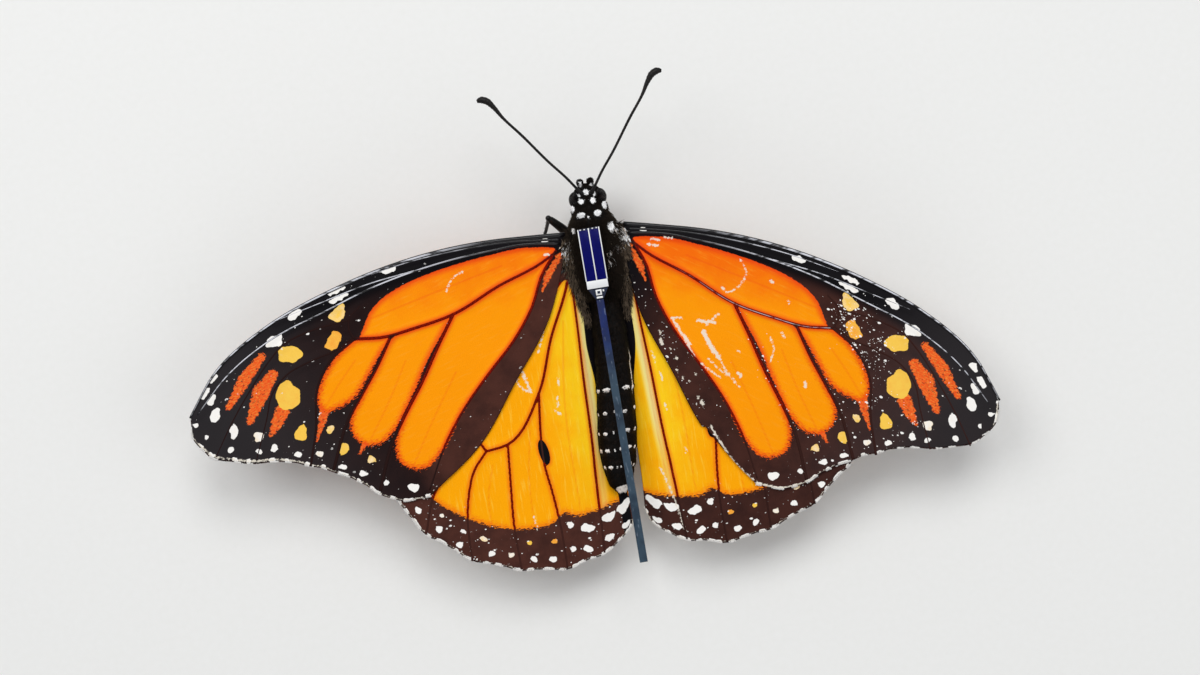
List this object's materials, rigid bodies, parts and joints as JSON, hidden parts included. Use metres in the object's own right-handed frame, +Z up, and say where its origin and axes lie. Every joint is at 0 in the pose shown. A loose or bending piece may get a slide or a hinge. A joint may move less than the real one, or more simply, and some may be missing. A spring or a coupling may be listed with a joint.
{
  "type": "monarch butterfly",
  "caption": "Life-size monarch butterfly standing with its wings spread flat, wearing a small solar radio tag on its thorax.",
  "frame": {"origin": "on the floor, at the centre of the model's box seen from above; the middle of the thorax is 3.6 mm to +X and 9.3 mm to +Y of it", "axes": "+Y from the tail to the head along the thorax, +X to the butterfly's right, +Z up; the feet rest on z = 0"},
  "size_m": [0.1, 0.0602, 0.0123],
  "materials": {
    "body": "black scales and hair with white spots",
    "leg": "black, finely scaled",
    "feeler": "black, clubbed",
    "mouthparts": "black, satin",
    "eye": "glossy, faceted",
    "forewing": "orange scales, black veins and border, white and amber spots",
    "hindwing": "amber-orange scales, black veins and border, white spots",
    "circuit_board": "satin, bare of any marking",
    "solar_cell": "glassy dark blue",
    "chip_case": "matt white",
    "antenna_film": "satin film"
  },
  "bodies": {
    "root": {"abdomen": "body", "eye_left": "eye", "eye_right": "eye", "feeler_left": "feeler", "feeler_right": "feeler", "foreleg_left": "leg", "foreleg_right": "leg", "forewing_left": "forewing", "forewing_right": "forewing", "head": "body", "hindleg_left": "leg", "hindleg_right": "leg", "hindwing_left": "hindwing", "hindwing_right": "hindwing", "midleg_left": "leg", "midleg_right": "leg", "palp_left": "body", "palp_right": "body", "proboscis": "mouthparts", "tag_antenna": "antenna_film", "tag_board": "circuit_board", "tag_cell_left": "solar_cell", "tag_cell_right": "solar_cell", "tag_chip": "chip_case", "tag_tail": "circuit_board", "thorax": "body"}
  },
  "joints": []
}
